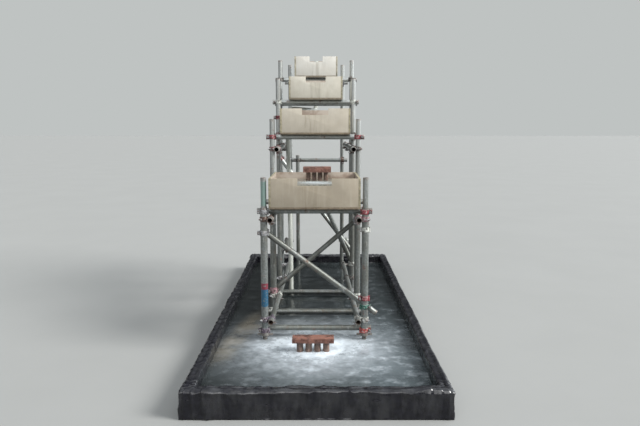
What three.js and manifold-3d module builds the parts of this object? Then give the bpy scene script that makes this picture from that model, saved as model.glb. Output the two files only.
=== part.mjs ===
// Stepped cascade fountain: four plywood basins, one above and behind the other, on a tower
// of scaffold tubes that stands in a long shallow pool with a lined kerb.
// Millimetres, +Z up. X runs across the pool, Y from its front to its back. The origin is
// the middle of the pool's underside.

import * as THREE from 'three';
import { mergeVertices } from 'three/addons/utils/BufferGeometryUtils.js';
import Module from 'manifold-3d';

const wasm = await Module();
wasm.setup();

// Gap that parts which touch keep from each other.
const FIT = 0.3;

// Pool. The tower stands a little left of its middle.
const POOL_WIDTH = 1850;
const POOL_LENGTH = 4470;
const KERB_THICKNESS = 85;
const KERB_HEIGHT = 207;
const FLOOR_THICKNESS = 20;
const TOWER_X = -23;

// Tubes
const TUBE_RADIUS = 24.15;
const SLEEVE_RADIUS = 30.15;
const TUBE_BORE = 20.9;
const TUBE_SIDES = 12;
const COUPLER_GAP = 11.7;

// Rows of posts, front to back: place along Y, half the distance between the two posts, foot and
// top of the posts. A sleeved row has a wider outer tube up to SLEEVE_TOP.
const ROWS = {
  a: { y: -940, x: 432, foot: 168, top: 1522, sleeved: true },
  b: { y: -165, x: 412, foot: 60, top: 2018, sleeved: true },
  c: { y: 555, x: 399, foot: 60, top: 2448, sleeved: false },
  d: { y: 1195, x: 412, foot: 60, top: 2701, sleeved: false },
  e: { y: 1765, x: 327, foot: 60, top: 2704, sleeved: false },
};
const SLEEVE_TOP = 1266;

// Base jacks
const JACK_PLATE = 140;
const JACK_PLATE_THICKNESS = 8;
const JACK_SPINDLE_RADIUS = 18;
const JACK_NUT_RADIUS = 32;
const JACK_NUT_HEIGHT = 26;
const JACK_INSERT = 90;

// Basins, lowest first: outer width, front and back along Y, underside, height, overflow width.
const BASINS = [
  { width: 776, front: -970, back: -215, base: 1255, height: 260, overflow: 290 },
  { width: 671, front: -195, back: 510, base: 1872, height: 245, overflow: 250 },
  { width: 568, front: 525, back: 1150, base: 2230, height: 240, overflow: 210 },
  { width: 496, front: 1165, back: 1720, base: 2510, height: 235, overflow: 150 },
];
const PLY = 18;
const OVERFLOW_DEPTH = 62;

// Heights of the tube axes
const LEDGER_OFFSET = 60.5;
const BASE_LEDGER_Z = 290;
const BASE_TRANSOM_FRONT_Z = 192;
const BASE_TRANSOM_Z = 146;
const TIER_2_LEDGER_Z = 1735;
const REAR_TRANSOM_Z = 1527;
const LOWER_TIE_Z = 483;
const UPPER_TIE_Z = 2100;

// Tubes along the tower. The ledgers close in a little towards the rear, the upper pair less, and
// the ties splay from the inner side of row d to the outer side of row e.
const LEDGER_X_AT_B = 357;
const LEDGER_CLOSING = 0.01935;
const UPPER_LEDGER_CLOSING = 0.0097;
const LEDGER_NOSE = 100;
const UPPER_LEDGER_NOSE = 200;
const LEDGER_TAIL = 90;
const TIE_TAIL = 95;

// Cross tubes and braces
const TRANSOM_OVERHANG = 62;
const STEEP_BRACE_TOP_X = 35;
const STEEP_BRACE_RISE = 2.15;
const BRACE_RUN = 32;
const SHORT_POST_X = -232;
const SHORT_POST_TOP = 1590;

// Couplers
const CLIP_LENGTH = 44;
const CLIP_WALL = 5;
const CLIP_LAP = 1;
const BORE_SIDES = 8;

// Splash benches
const STUB_COUNT = 4;
const STUB_SIDES = 16;
const POOL_BENCH = {
  x: -11, y: -1235, width: 343, depth: 120, thickness: 35, stub: 27,
  underside: 196, seat: FLOOR_THICKNESS,
};
const BASIN_BENCH = {
  x: 19, y: -420, width: 256, depth: 130, thickness: 48, stub: 20,
  underside: 1531, seat: BASINS[0].base + PLY,
};

// Riser pipe
const RISER_RADIUS = 25;
const RISER_BORE = 21;
const RISER_TOP = 2718;
const RISER_HOLE = (RISER_RADIUS + FIT) / Math.cos(Math.PI / TUBE_SIDES);

const Z = new THREE.Vector3(0, 0, 1);
const X = new THREE.Vector3(1, 0, 0);
const Y = new THREE.Vector3(0, 1, 0);

const material = {
  liner: new THREE.MeshStandardMaterial({ color: 0x17191b, roughness: 0.35, metalness: 0 }),
  galvanised: new THREE.MeshStandardMaterial({ color: 0x8d9390, roughness: 0.5, metalness: 0.75 }),
  plywood: new THREE.MeshStandardMaterial({ color: 0xb5aa98, roughness: 0.6, metalness: 0 }),
  splashBoard: new THREE.MeshStandardMaterial({ color: 0x824f3c, roughness: 0.7, metalness: 0 }),
  pipe: new THREE.MeshStandardMaterial({ color: 0xb4b7b2, roughness: 0.45, metalness: 0 }),
};

const fountain = new THREE.Group();
const tower = new THREE.Group();
tower.position.x = TOWER_X;
fountain.add(tower);

function addNode(name, geometry, finish, group = tower) {
  const mesh = new THREE.Mesh(geometry, finish);
  mesh.name = name;
  group.add(mesh);
}

// Booleans

function solidOf(geometry) {
  const bare = geometry.clone();
  bare.deleteAttribute('normal');
  bare.deleteAttribute('uv');
  const merged = mergeVertices(bare, 1e-3);
  return new wasm.Manifold(new wasm.Mesh({
    numProp: 3,
    vertProperties: new Float32Array(merged.attributes.position.array),
    triVerts: new Uint32Array(merged.index.array),
  }));
}

function geometryOf(solid) {
  const mesh = solid.getMesh();
  const geometry = new THREE.BufferGeometry();
  geometry.setAttribute('position', new THREE.BufferAttribute(new Float32Array(mesh.vertProperties), 3));
  geometry.setIndex(new THREE.BufferAttribute(new Uint32Array(mesh.triVerts), 1));
  return geometry;
}

function plain(geometry) {
  geometry.deleteAttribute('normal');
  geometry.deleteAttribute('uv');
  return mergeVertices(geometry, 1e-3);
}

function block(x0, x1, y0, y1, z0, z1) {
  const geometry = new THREE.BoxGeometry(x1 - x0, y1 - y0, z1 - z0);
  geometry.translate((x0 + x1) / 2, (y0 + y1) / 2, (z0 + z1) / 2);
  return plain(geometry);
}

// A turned shape about +Z from [radius, height] points, outside going up
function turned(profile, sides) {
  const points = profile.map(([radius, height]) => new THREE.Vector2(radius, height));
  const geometry = new THREE.LatheGeometry(points, sides);
  geometry.rotateX(Math.PI / 2);
  return plain(geometry);
}

const at = (x, y, z) => new THREE.Vector3(x, y, z);

function rodBetween(start, end, radius) {
  const run = new THREE.Vector3().subVectors(end, start);
  const rod = new THREE.CylinderGeometry(radius, radius, run.length(), TUBE_SIDES);
  rod.applyQuaternion(new THREE.Quaternion().setFromUnitVectors(Y, run.clone().normalize()));
  rod.translate((start.x + end.x) / 2, (start.y + end.y) / 2, (start.z + end.z) / 2);
  return solidOf(rod);
}

// A tube open at both ends, with the couplers that it carries
function tubeBetween(start, end, fittings = []) {
  const overrun = new THREE.Vector3().subVectors(end, start).normalize();
  let solid = rodBetween(start, end, TUBE_RADIUS);
  for (const fitting of fittings) {
    solid = solid.add(fitting);
  }
  const bore = rodBetween(start.clone().sub(overrun), end.clone().add(overrun), TUBE_BORE);
  return geometryOf(solid.subtract(bore));
}

// Couplers: a clip round each of two crossing tubes, joined between them. The clip on the tube
// that carries the coupler grips it, and the other clip has a bore with a fit.

function clip(tube, toward, near) {
  const reach = tube.radius + CLIP_WALL;
  const body = new THREE.BoxGeometry(2 * (tube.radius + CLIP_WALL), reach + near, CLIP_LENGTH);
  body.translate(0, (near - reach) / 2, 0);
  const across = new THREE.Vector3().crossVectors(toward, tube.axis).normalize();
  const place = new THREE.Matrix4().makeBasis(across, toward, tube.axis);
  place.setPosition(tube.at);
  return solidOf(body.applyMatrix4(place));
}

function coupler(carrier, held) {
  const span = new THREE.Vector3().subVectors(held.at, carrier.at);
  const toward = span.clone().normalize();
  const halfGap = (span.length() - carrier.radius - held.radius) / 2;
  const grip = clip(carrier, toward, carrier.radius + halfGap + CLIP_LAP);
  const saddle = clip(held, toward.clone().negate(), held.radius + halfGap + CLIP_LAP);
  const boreRadius = (held.radius + FIT) / Math.cos(Math.PI / BORE_SIDES);
  const bore = new THREE.CylinderGeometry(boreRadius, boreRadius, 2 * CLIP_LENGTH, BORE_SIDES);
  bore.applyQuaternion(new THREE.Quaternion().setFromUnitVectors(Y, held.axis));
  bore.translate(held.at.x, held.at.y, held.at.z);
  return grip.add(saddle).subtract(solidOf(bore));
}

// Pool

const halfWidth = POOL_WIDTH / 2;
const halfLength = POOL_LENGTH / 2;
const innerX = halfWidth - KERB_THICKNESS;
const innerY = halfLength - KERB_THICKNESS;

addNode('pool_floor', block(
  -innerX + FIT, innerX - FIT, -innerY + FIT, innerY - FIT, 0, FLOOR_THICKNESS,
), material.liner, fountain);
addNode('kerb_front', block(
  -halfWidth, halfWidth, -halfLength, -innerY, 0, KERB_HEIGHT,
), material.liner, fountain);
addNode('kerb_back', block(
  -halfWidth, halfWidth, innerY, halfLength, 0, KERB_HEIGHT,
), material.liner, fountain);
for (const [side, sign] of [['left', -1], ['right', 1]]) {
  const outer = sign * halfWidth;
  const inner = sign * innerX;
  addNode(`kerb_${side}`, block(
    Math.min(outer, inner), Math.max(outer, inner), -innerY + FIT, innerY - FIT, 0, KERB_HEIGHT,
  ), material.liner, fountain);
}

// Posts stand on base jacks. Each carries the couplers of the tubes that cross it.

const SIDES = { left: -1, right: 1 };
const postFittings = {};
for (const letter of Object.keys(ROWS)) {
  postFittings[letter] = { left: [], right: [] };
}

function postRadius(row, z) {
  return row.sleeved && z < SLEEVE_TOP ? SLEEVE_RADIUS : TUBE_RADIUS;
}

function standOff(row, z) {
  return postRadius(row, z) + COUPLER_GAP + TUBE_RADIUS;
}

function holdToPost(letter, side, heldAt, axis) {
  const row = ROWS[letter];
  const onPost = {
    at: at(SIDES[side] * row.x, row.y, heldAt.z),
    axis: Z,
    radius: postRadius(row, heldAt.z),
  };
  postFittings[letter][side].push(coupler(onPost, { at: heldAt, axis, radius: TUBE_RADIUS }));
}

function post(letter, side) {
  const row = ROWS[letter];
  const seat = FLOOR_THICKNESS + FIT;
  const nutBase = row.foot - JACK_NUT_HEIGHT;
  const outline = [
    [0, seat], [JACK_SPINDLE_RADIUS, seat], [JACK_SPINDLE_RADIUS, nutBase], [JACK_NUT_RADIUS, nutBase],
    [JACK_NUT_RADIUS, row.foot],
  ];
  if (row.sleeved) {
    outline.push([SLEEVE_RADIUS, row.foot], [SLEEVE_RADIUS, SLEEVE_TOP], [TUBE_RADIUS, SLEEVE_TOP]);
  } else {
    outline.push([TUBE_RADIUS, row.foot]);
  }
  outline.push([TUBE_RADIUS, row.top], [0, row.top]);
  const shaft = turned(outline, TUBE_SIDES);
  shaft.translate(SIDES[side] * row.x, row.y, 0);
  const half = JACK_PLATE / 2;
  const x = SIDES[side] * row.x;
  const plate = block(x - half, x + half, row.y - half, row.y + half, seat, seat + JACK_PLATE_THICKNESS);
  let solid = solidOf(shaft).add(solidOf(plate));
  for (const fitting of postFittings[letter][side]) {
    solid = solid.add(fitting);
  }
  const bore = rodBetween(at(x, row.y, row.foot + JACK_INSERT), at(x, row.y, row.top + 1), TUBE_BORE);
  return geometryOf(solid.subtract(bore));
}

// Cross tubes. A tube on the front (-1) or rear (1) of a row stands off its posts by the
// coupler's gap.

function transom(name, letter, face, z) {
  const row = ROWS[letter];
  const y = row.y + face * standOff(row, z);
  for (const [side, sign] of Object.entries(SIDES)) {
    holdToPost(letter, side, at(sign * row.x, y, z), X);
  }
  const half = row.x + TRANSOM_OVERHANG;
  addNode(name, tubeBetween(at(-half, y, z), at(half, y, z)), material.galvanised);
}

const bearerZ = BASINS.map((basin) => basin.base - TUBE_RADIUS - FIT);
const tier1LedgerZ = bearerZ[0] - LEDGER_OFFSET;

BASINS.forEach((basin, index) => {
  transom(`bearer_basin_${index + 1}_front`, 'abcd'[index], 1, bearerZ[index]);
  transom(`bearer_basin_${index + 1}_rear`, 'bcde'[index], -1, bearerZ[index]);
});
transom('transom_base_a', 'a', 1, BASE_TRANSOM_FRONT_Z);
transom('transom_base_b', 'b', -1, BASE_TRANSOM_Z);
transom('transom_base_c', 'c', -1, BASE_TRANSOM_Z);
transom('transom_rear', 'e', -1, REAR_TRANSOM_Z);

// Tubes along the tower, one on each side, held to the posts of the rows named. Their distance
// from the middle of the tower depends on y.

function alongTower(name, spread, front, rear, z, letters) {
  for (const [side, sign] of Object.entries(SIDES)) {
    const point = (y) => at(sign * spread(y), y, z);
    const axis = new THREE.Vector3().subVectors(point(rear), point(front)).normalize();
    addNode(`${name}_${side}`, tubeBetween(point(front), point(rear)), material.galvanised);
    for (const letter of letters) {
      holdToPost(letter, side, point(ROWS[letter].y), axis);
    }
  }
}

const ledgerX = (y, closing = LEDGER_CLOSING) => LEDGER_X_AT_B - closing * (y - ROWS.b.y);
const ledgerFront = ROWS.a.y - LEDGER_NOSE;
const ledgerRear = ROWS.d.y + LEDGER_TAIL;
alongTower('ledger_base', ledgerX, ledgerFront, ledgerRear, BASE_LEDGER_Z, 'abcd');
alongTower('ledger_tier_1', ledgerX, ledgerFront, ledgerRear, tier1LedgerZ, 'abcd');
const upperLedgerX = (y) => ledgerX(y, UPPER_LEDGER_CLOSING);
const upperLedgerFront = ROWS.b.y - UPPER_LEDGER_NOSE;
alongTower('ledger_tier_2', upperLedgerX, upperLedgerFront, ledgerRear, TIER_2_LEDGER_Z, 'bcd');

const tieAtD = ROWS.d.x - standOff(ROWS.d, UPPER_TIE_Z);
const tieAtE = ROWS.e.x + standOff(ROWS.e, UPPER_TIE_Z);
const tieX = (y) => tieAtD + (tieAtE - tieAtD) * (y - ROWS.d.y) / (ROWS.e.y - ROWS.d.y);
for (const [tier, z] of [['lower', LOWER_TIE_Z], ['upper', UPPER_TIE_Z]]) {
  alongTower(`tie_${tier}`, tieX, ROWS.d.y - TIE_TAIL, ROWS.e.y + TIE_TAIL, z, 'de');
}

// Diagonal braces lie in the plane of a row's front (-1) or rear (1) face, held at each post

function brace(letter, face, leftZ, rightZ, leftRun, rightRun) {
  const row = ROWS[letter];
  const y = row.y + face * (SLEEVE_RADIUS + COUPLER_GAP + TUBE_RADIUS);
  const slope = (rightZ - leftZ) / (2 * row.x);
  const point = (x) => at(x, y, leftZ + slope * (x + row.x));
  const start = point(-row.x - leftRun);
  const end = point(row.x + rightRun);
  const axis = new THREE.Vector3().subVectors(end, start).normalize();
  addNode(`brace_row_${letter}`, tubeBetween(start, end), material.galvanised);
  for (const [side, sign] of Object.entries(SIDES)) {
    holdToPost(letter, side, point(sign * row.x), axis);
  }
}

brace('a', 1, 1049, 403, 30, 105);
brace('b', 1, 332, 1040, 30, 30);
brace('d', -1, 1571, 490, 30, 30);

// The steep brace of row c runs from the right post up to a cross tube that lies on the ledgers
const steepPlane = ROWS.c.y + standOff(ROWS.c, 0);
const middleY = steepPlane + 2 * TUBE_RADIUS + COUPLER_GAP;
const steepFoot = at(ROWS.c.x, steepPlane, bearerZ[0] - STEEP_BRACE_RISE * (ROWS.c.x - STEEP_BRACE_TOP_X));
const steepHead = at(STEEP_BRACE_TOP_X, steepPlane, bearerZ[0]);
const steepAxis = new THREE.Vector3().subVectors(steepHead, steepFoot).normalize();
const past = steepAxis.clone().multiplyScalar(BRACE_RUN);
addNode('brace_row_c', tubeBetween(
  steepFoot.clone().sub(past), steepHead.clone().add(past),
), material.galvanised);
holdToPost('c', 'right', steepFoot, steepAxis);
const onMiddle = (x) => ({ at: at(x, middleY, bearerZ[0]), axis: X, radius: TUBE_RADIUS });
const middleFittings = [
  coupler(onMiddle(STEEP_BRACE_TOP_X), { at: steepHead, axis: steepAxis, radius: TUBE_RADIUS }),
];
for (const sign of Object.values(SIDES)) {
  const x = sign * ledgerX(middleY);
  const axis = at(-sign * LEDGER_CLOSING, 1, 0).normalize();
  middleFittings.push(coupler(onMiddle(x), { at: at(x, middleY, tier1LedgerZ), axis, radius: TUBE_RADIUS }));
}
addNode('transom_middle', tubeBetween(
  at(-ROWS.c.x, middleY, bearerZ[0]), at(ROWS.c.x, middleY, bearerZ[0]), middleFittings,
), material.galvanised);

// A short post in the rear bay stands on the floor and is held to the rear cross tube
const rearTransomY = ROWS.e.y - standOff(ROWS.e, REAR_TRANSOM_Z);
const shortPostY = rearTransomY - COUPLER_GAP - 2 * TUBE_RADIUS;
const shortPostCoupler = coupler(
  { at: at(SHORT_POST_X, shortPostY, REAR_TRANSOM_Z), axis: Z, radius: TUBE_RADIUS },
  { at: at(SHORT_POST_X, rearTransomY, REAR_TRANSOM_Z), axis: X, radius: TUBE_RADIUS },
);
addNode('post_short_rear', tubeBetween(
  at(SHORT_POST_X, shortPostY, FLOOR_THICKNESS + FIT),
  at(SHORT_POST_X, shortPostY, SHORT_POST_TOP),
  [shortPostCoupler],
), material.galvanised);

for (const letter of Object.keys(ROWS)) {
  for (const side of Object.keys(SIDES)) {
    addNode(`post_${letter}_${side}`, post(letter, side), material.galvanised);
  }
}

// Basins: the walls stand on the floor panel, front and back between the two sides

BASINS.forEach((basin, index) => {
  const name = `basin_${index + 1}`;
  const half = basin.width / 2;
  const wallBase = basin.base + PLY + FIT;
  const rim = basin.base + basin.height;
  const inside = half - PLY - FIT;
  const floor = block(-half, half, basin.front, basin.back, basin.base, basin.base + PLY);
  if (index === BASINS.length - 1) {
    const middle = (basin.front + basin.back) / 2;
    const hole = new THREE.CylinderGeometry(RISER_HOLE, RISER_HOLE, 4 * PLY, TUBE_SIDES);
    hole.rotateX(Math.PI / 2);
    hole.translate(0, middle, basin.base);
    addNode(`${name}_floor`, geometryOf(solidOf(floor).subtract(solidOf(hole))), material.plywood);
  } else {
    addNode(`${name}_floor`, floor, material.plywood);
  }
  const front = solidOf(block(-inside, inside, basin.front, basin.front + PLY, wallBase, rim));
  const halfOverflow = basin.overflow / 2;
  const notch = solidOf(block(
    -halfOverflow, halfOverflow, basin.front - PLY, basin.front + 2 * PLY, rim - OVERFLOW_DEPTH, rim + PLY,
  ));
  addNode(`${name}_front`, geometryOf(front.subtract(notch)), material.plywood);
  const plan = new THREE.Shape();
  plan.moveTo(-half, basin.front);
  plan.lineTo(-half + PLY, basin.front);
  plan.lineTo(-half + PLY, basin.back - PLY);
  plan.lineTo(half - PLY, basin.back - PLY);
  plan.lineTo(half - PLY, basin.front);
  plan.lineTo(half, basin.front);
  plan.lineTo(half, basin.back);
  plan.lineTo(-half, basin.back);
  plan.closePath();
  const walls = new THREE.ExtrudeGeometry(plan, { depth: rim - wallBase, bevelEnabled: false });
  walls.translate(0, 0, wallBase);
  addNode(`${name}_walls`, plain(walls), material.plywood);
});

// Splash benches: a board on four round stubs

function splashBench(name, bench) {
  const halfX = bench.width / 2;
  const halfY = bench.depth / 2;
  let solid = solidOf(block(
    bench.x - halfX, bench.x + halfX, bench.y - halfY, bench.y + halfY,
    bench.underside, bench.underside + bench.thickness,
  ));
  const pitch = (bench.width - 2 * bench.stub) / STUB_COUNT;
  for (let index = 0; index < STUB_COUNT; index += 1) {
    const x = bench.x + (index - (STUB_COUNT - 1) / 2) * pitch;
    const height = bench.underside + 1 - bench.seat - FIT;
    const stub = new THREE.CylinderGeometry(bench.stub, bench.stub, height, STUB_SIDES);
    stub.rotateX(Math.PI / 2);
    stub.translate(x, bench.y, bench.seat + FIT + height / 2);
    solid = solid.add(solidOf(stub));
  }
  addNode(name, geometryOf(solid), material.splashBoard);
}

splashBench('splash_bench_pool', POOL_BENCH);
splashBench('splash_bench_basin', BASIN_BENCH);

// Riser pipe: up inside the tower, back under the third basin and up through the floor of the top one

const topBasin = BASINS[BASINS.length - 1];
const riserY = (topBasin.front + topBasin.back) / 2;
const riserRoute = new THREE.CatmullRomCurve3([
  at(-275, 600, FLOOR_THICKNESS + FIT),
  at(-280, 600, 790),
  at(-286, 600, 1170),
  at(-298, 600, 1690),
  at(-300, 600, 1970),
  at(-294, 625, 2070),
  at(-268, 705, 2127),
  at(-160, 930, 2135),
  at(-60, 1170, 2135),
  at(-12, 1340, 2145),
  at(0, riserY - 22, 2220),
  at(0, riserY, 2320),
  at(0, riserY, topBasin.base),
  at(0, riserY, RISER_TOP),
], false, 'centripetal');
const ring = new THREE.Shape();
ring.absarc(0, 0, RISER_RADIUS, 0, 2 * Math.PI, false);
const bore = new THREE.Path();
bore.absarc(0, 0, RISER_BORE, 0, 2 * Math.PI, true);
ring.holes.push(bore);
const riser = new THREE.ExtrudeGeometry(ring, {
  curveSegments: TUBE_SIDES,
  steps: 44,
  extrudePath: riserRoute,
});
addNode('riser_pipe', plain(riser), material.pipe);

export default fountain;
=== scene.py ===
"""Stepped cascade fountain: four plywood basins on a tower of scaffold tubes in a lined pool.

Metres, +Z up. X runs across the pool, Y from its front to its back.
"""

import math
import random

import bmesh
import bpy
import numpy as np
from mathutils import Matrix, Vector, geometry, noise


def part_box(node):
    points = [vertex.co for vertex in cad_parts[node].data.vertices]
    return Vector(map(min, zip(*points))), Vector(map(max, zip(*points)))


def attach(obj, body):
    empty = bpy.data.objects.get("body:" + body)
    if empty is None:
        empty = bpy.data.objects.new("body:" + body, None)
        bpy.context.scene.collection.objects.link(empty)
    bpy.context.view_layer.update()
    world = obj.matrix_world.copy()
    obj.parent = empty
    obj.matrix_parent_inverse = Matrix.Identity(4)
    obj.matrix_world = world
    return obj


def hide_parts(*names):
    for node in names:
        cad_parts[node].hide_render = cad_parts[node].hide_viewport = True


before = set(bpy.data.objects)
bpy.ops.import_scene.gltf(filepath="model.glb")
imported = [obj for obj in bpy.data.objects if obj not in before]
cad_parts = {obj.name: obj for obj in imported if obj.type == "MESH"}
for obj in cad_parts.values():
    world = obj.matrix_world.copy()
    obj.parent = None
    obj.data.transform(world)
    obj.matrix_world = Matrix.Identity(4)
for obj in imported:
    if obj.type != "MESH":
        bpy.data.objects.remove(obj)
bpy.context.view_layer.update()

SEED = 7
X_AXIS, Y_AXIS, Z_AXIS = Vector((1, 0, 0)), Vector((0, 1, 0)), Vector((0, 0, 1))
ACROSS = (math.pi / 2, 0.0, 0.0)
KERBS = ("front", "back", "left", "right")


def colour(code):
    """Linear colour, with alpha 1, of a screen colour such as b0a090."""
    parts = [int(code[k:k + 2], 16) / 255 for k in (0, 2, 4)]
    linear = [c / 12.92 if c <= 0.04045 else ((c + 0.055) / 1.055) ** 2.4 for c in parts]
    return (*linear, 1.0)


# Camera, as the photograph was taken
CAMERA_PLACE = (0.023, -6.167, 1.952)
CAMERA_PITCH = math.radians(7.963)
CAMERA_SENSOR = 36.0
IMAGE_WIDTH = 640
FOCAL_PIXELS = 622
CAMERA_LENS = FOCAL_PIXELS / IMAGE_WIDTH * CAMERA_SENSOR

# Studio
FLOOR_HALF = 120.0
BACKDROP = colour("bfc3c2")
# Light from the open side, behind and to the right, which runs down the tubes' right edges
OPEN_SIDE = 3.0

# Posts and tubes
ROWS = "abcde"
SIDES = {"left": -1, "right": 1}
SLEEVED_ROWS = "ab"
TUBE_RADIUS = 0.02415
SLEEVE_RADIUS = 0.03015
TUBE_WALL = 0.0032
SLEEVE_WALL = 0.0054
TUBE_SIDES = 28
SLEEVE_TOP = 1.266
INNER_TUBE_START = 0.02
FRONT_FOOT = 0.168
REAR_FOOT = 0.060
# Tubes that carry couplers, with their axes
FITTED_TUBES = {"transom_middle": (1, 0, 0), "post_short_rear": (0, 0, 1)}

# Base jacks
JACK_PLATE = 0.140
JACK_PLATE_THICKNESS = 0.007
JACK_SPINDLE_RADIUS = 0.018
JACK_COLLAR_RADIUS = 0.032
JACK_COLLAR_HEIGHT = 0.026
JACK_HANDLE_HALF = 0.006
JACK_PLATE_BEVEL = 0.0015
JACK_HANDLE_BEVEL = 0.003
JACK_SIDES = 20
JACK_SEAT = 0.0215
THREAD_PITCH = 0.008

# A coupler joins a post, or the middle cross tube, to each tube that passes it this near
COUPLER_REACH = 0.085
# How much longer than the gap between its clamps a coupler's block is
BLOCK_OVERLAP = 0.004

# Boards and basins
PLY = 0.018
BENCH_BEVEL = 0.003
BENCH_STUBS = 4
STUB_SIDES = 24
PLY_LAYERS = 7.0
BOARD_BEVEL = 0.0012
OVERFLOW_DEPTH = 0.062
SCREW_HEIGHT = 0.012
RISER_HOLE_RADIUS = 0.0258
# Looks of the basins from the lowest up. The lower basins are darker: partly painted shade, partly wetter
# boards
BASIN_LOOKS = [
    {"face": "9a9182", "stain": "867d6e", "edge": "999178", "overflow": 0.290},
    {"face": "b3ac9f", "stain": "a0988a", "edge": "aba389", "overflow": 0.250},
    {"face": "c1bdb2", "stain": "aea89b", "edge": "b3ad99", "overflow": 0.210},
    {"face": "cccac4", "stain": "bcb8af", "edge": "bcb7a8", "overflow": 0.150},
]

# Water
POOL_WATER_Z = 0.110
# Distance between points of the surface
POOL_STEP, BASIN_STEP = 0.0165, 0.012
# Middle of the rippled surface: so far behind the pool's bench, or at this share of a basin's length
POOL_CENTRE, BASIN_CENTRE = 0.07, 0.4
POOL_ROUGH = {"calm": 0.0022, "chop": 0.0060, "spread": 0.50, "pitch": 42}
BASIN_ROUGH = {"calm": 0.0012, "chop": 0.0028, "spread": 0.16, "pitch": 90}

# Riser pipe, as it runs from the middle of the tower
TOWER_X = -0.023
RISER_RADIUS = 0.025
RISER_WALL = 0.004
RISER_SIDES = 24
RISER_STEPS = 6
RISER_ROUTE = [
    (-0.275, 0.600, 0.0215), (-0.280, 0.600, 0.790), (-0.286, 0.600, 1.170), (-0.298, 0.600, 1.690),
    (-0.300, 0.600, 1.970), (-0.294, 0.625, 2.070), (-0.268, 0.705, 2.127), (-0.160, 0.930, 2.135),
    (-0.060, 1.170, 2.135), (-0.012, 1.340, 2.145), (0.0, 1.4205, 2.220), (0.0, 1.4425, 2.320),
    (0.0, 1.4425, 2.510), (0.0, 1.4425, 2.718),
]

# Liner
LINER_INSET = 0.005
LINER_THICKNESS = 0.0014
CORE_INSET = 0.012
CORE_DROP = 0.024
CORE_BEVEL = 0.022
# Points along the liner are closer together near the corners
LINER_STEP, CORNER_STEP, CORNER_REACH = 0.0155, 0.0055, 0.20
# Pleats at each corner: how far from it each starts, and how soon it dies away
PLEATS = [(0.028, 0.05), (0.085, 0.07), (0.165, 0.09)]

BARE = (0.0, 0.0, 0.0, 0.0)
PAINTS = {name: colour(code) for name, code in {
    "red": "83343d", "crimson": "6c2232", "dull_red": "6b4144", "orange_red": "a5443f",
    "pink": "8d6a70", "white": "b9bcb6", "purple": "55495a", "rust": "5f4a40", "dark": "45423f",
    "grey": "85878a", "blue": "1a4b66", "green": "226154", "turquoise": "6b817b",
}.items()}

# Old paint on posts: lowest and highest point, and colour
PAINT_BANDS = {
    "post_a_left": [(0.407, 0.559, "blue"), (0.559, 0.612, "crimson"), (1.285, 1.490, "turquoise")],
    "post_b_left": [(0.290, 0.372, "pink")],
}

# Colours of couplers, by what carries them and what they hold
COUPLER_PAINTS = {
    "post_a_left": {
        "ledger_base_left": "purple", "transom_base_a": "purple", "ledger_tier_1_left": "rust",
        "bearer_basin_1_front": "grey", "brace_row_a": "grey",
    },
    "post_a_right": {
        "bearer_basin_1_front": "red", "ledger_tier_1_right": "pink", "brace_row_a": "green",
        "ledger_base_right": "white", "transom_base_a": "orange_red",
    },
    "post_b_left": {
        "brace_row_b": "pink", "transom_base_b": "white", "ledger_base_left": "white",
        "bearer_basin_2_front": "red", "ledger_tier_2_left": "dull_red",
    },
    "post_b_right": {"ledger_base_right": "white", "bearer_basin_2_front": "red"},
    "post_c_left": {"bearer_basin_3_front": "white"},
    "post_c_right": {"brace_row_c": "white", "bearer_basin_3_front": "white"},
    "post_e_right": {"tie_lower_right": "white"},
}
OTHER_PAINTS = ["grey", "grey", "grey", "dark", "dark", "rust", "dull_red"]

# Single clamps left closed round a post: how high, and colour
SPARE_CLAMPS = {"post_a_right": [(1.078, "white"), (0.478, "red")], "post_c_left": [(2.042, "red")]}


# Node trees

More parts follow.
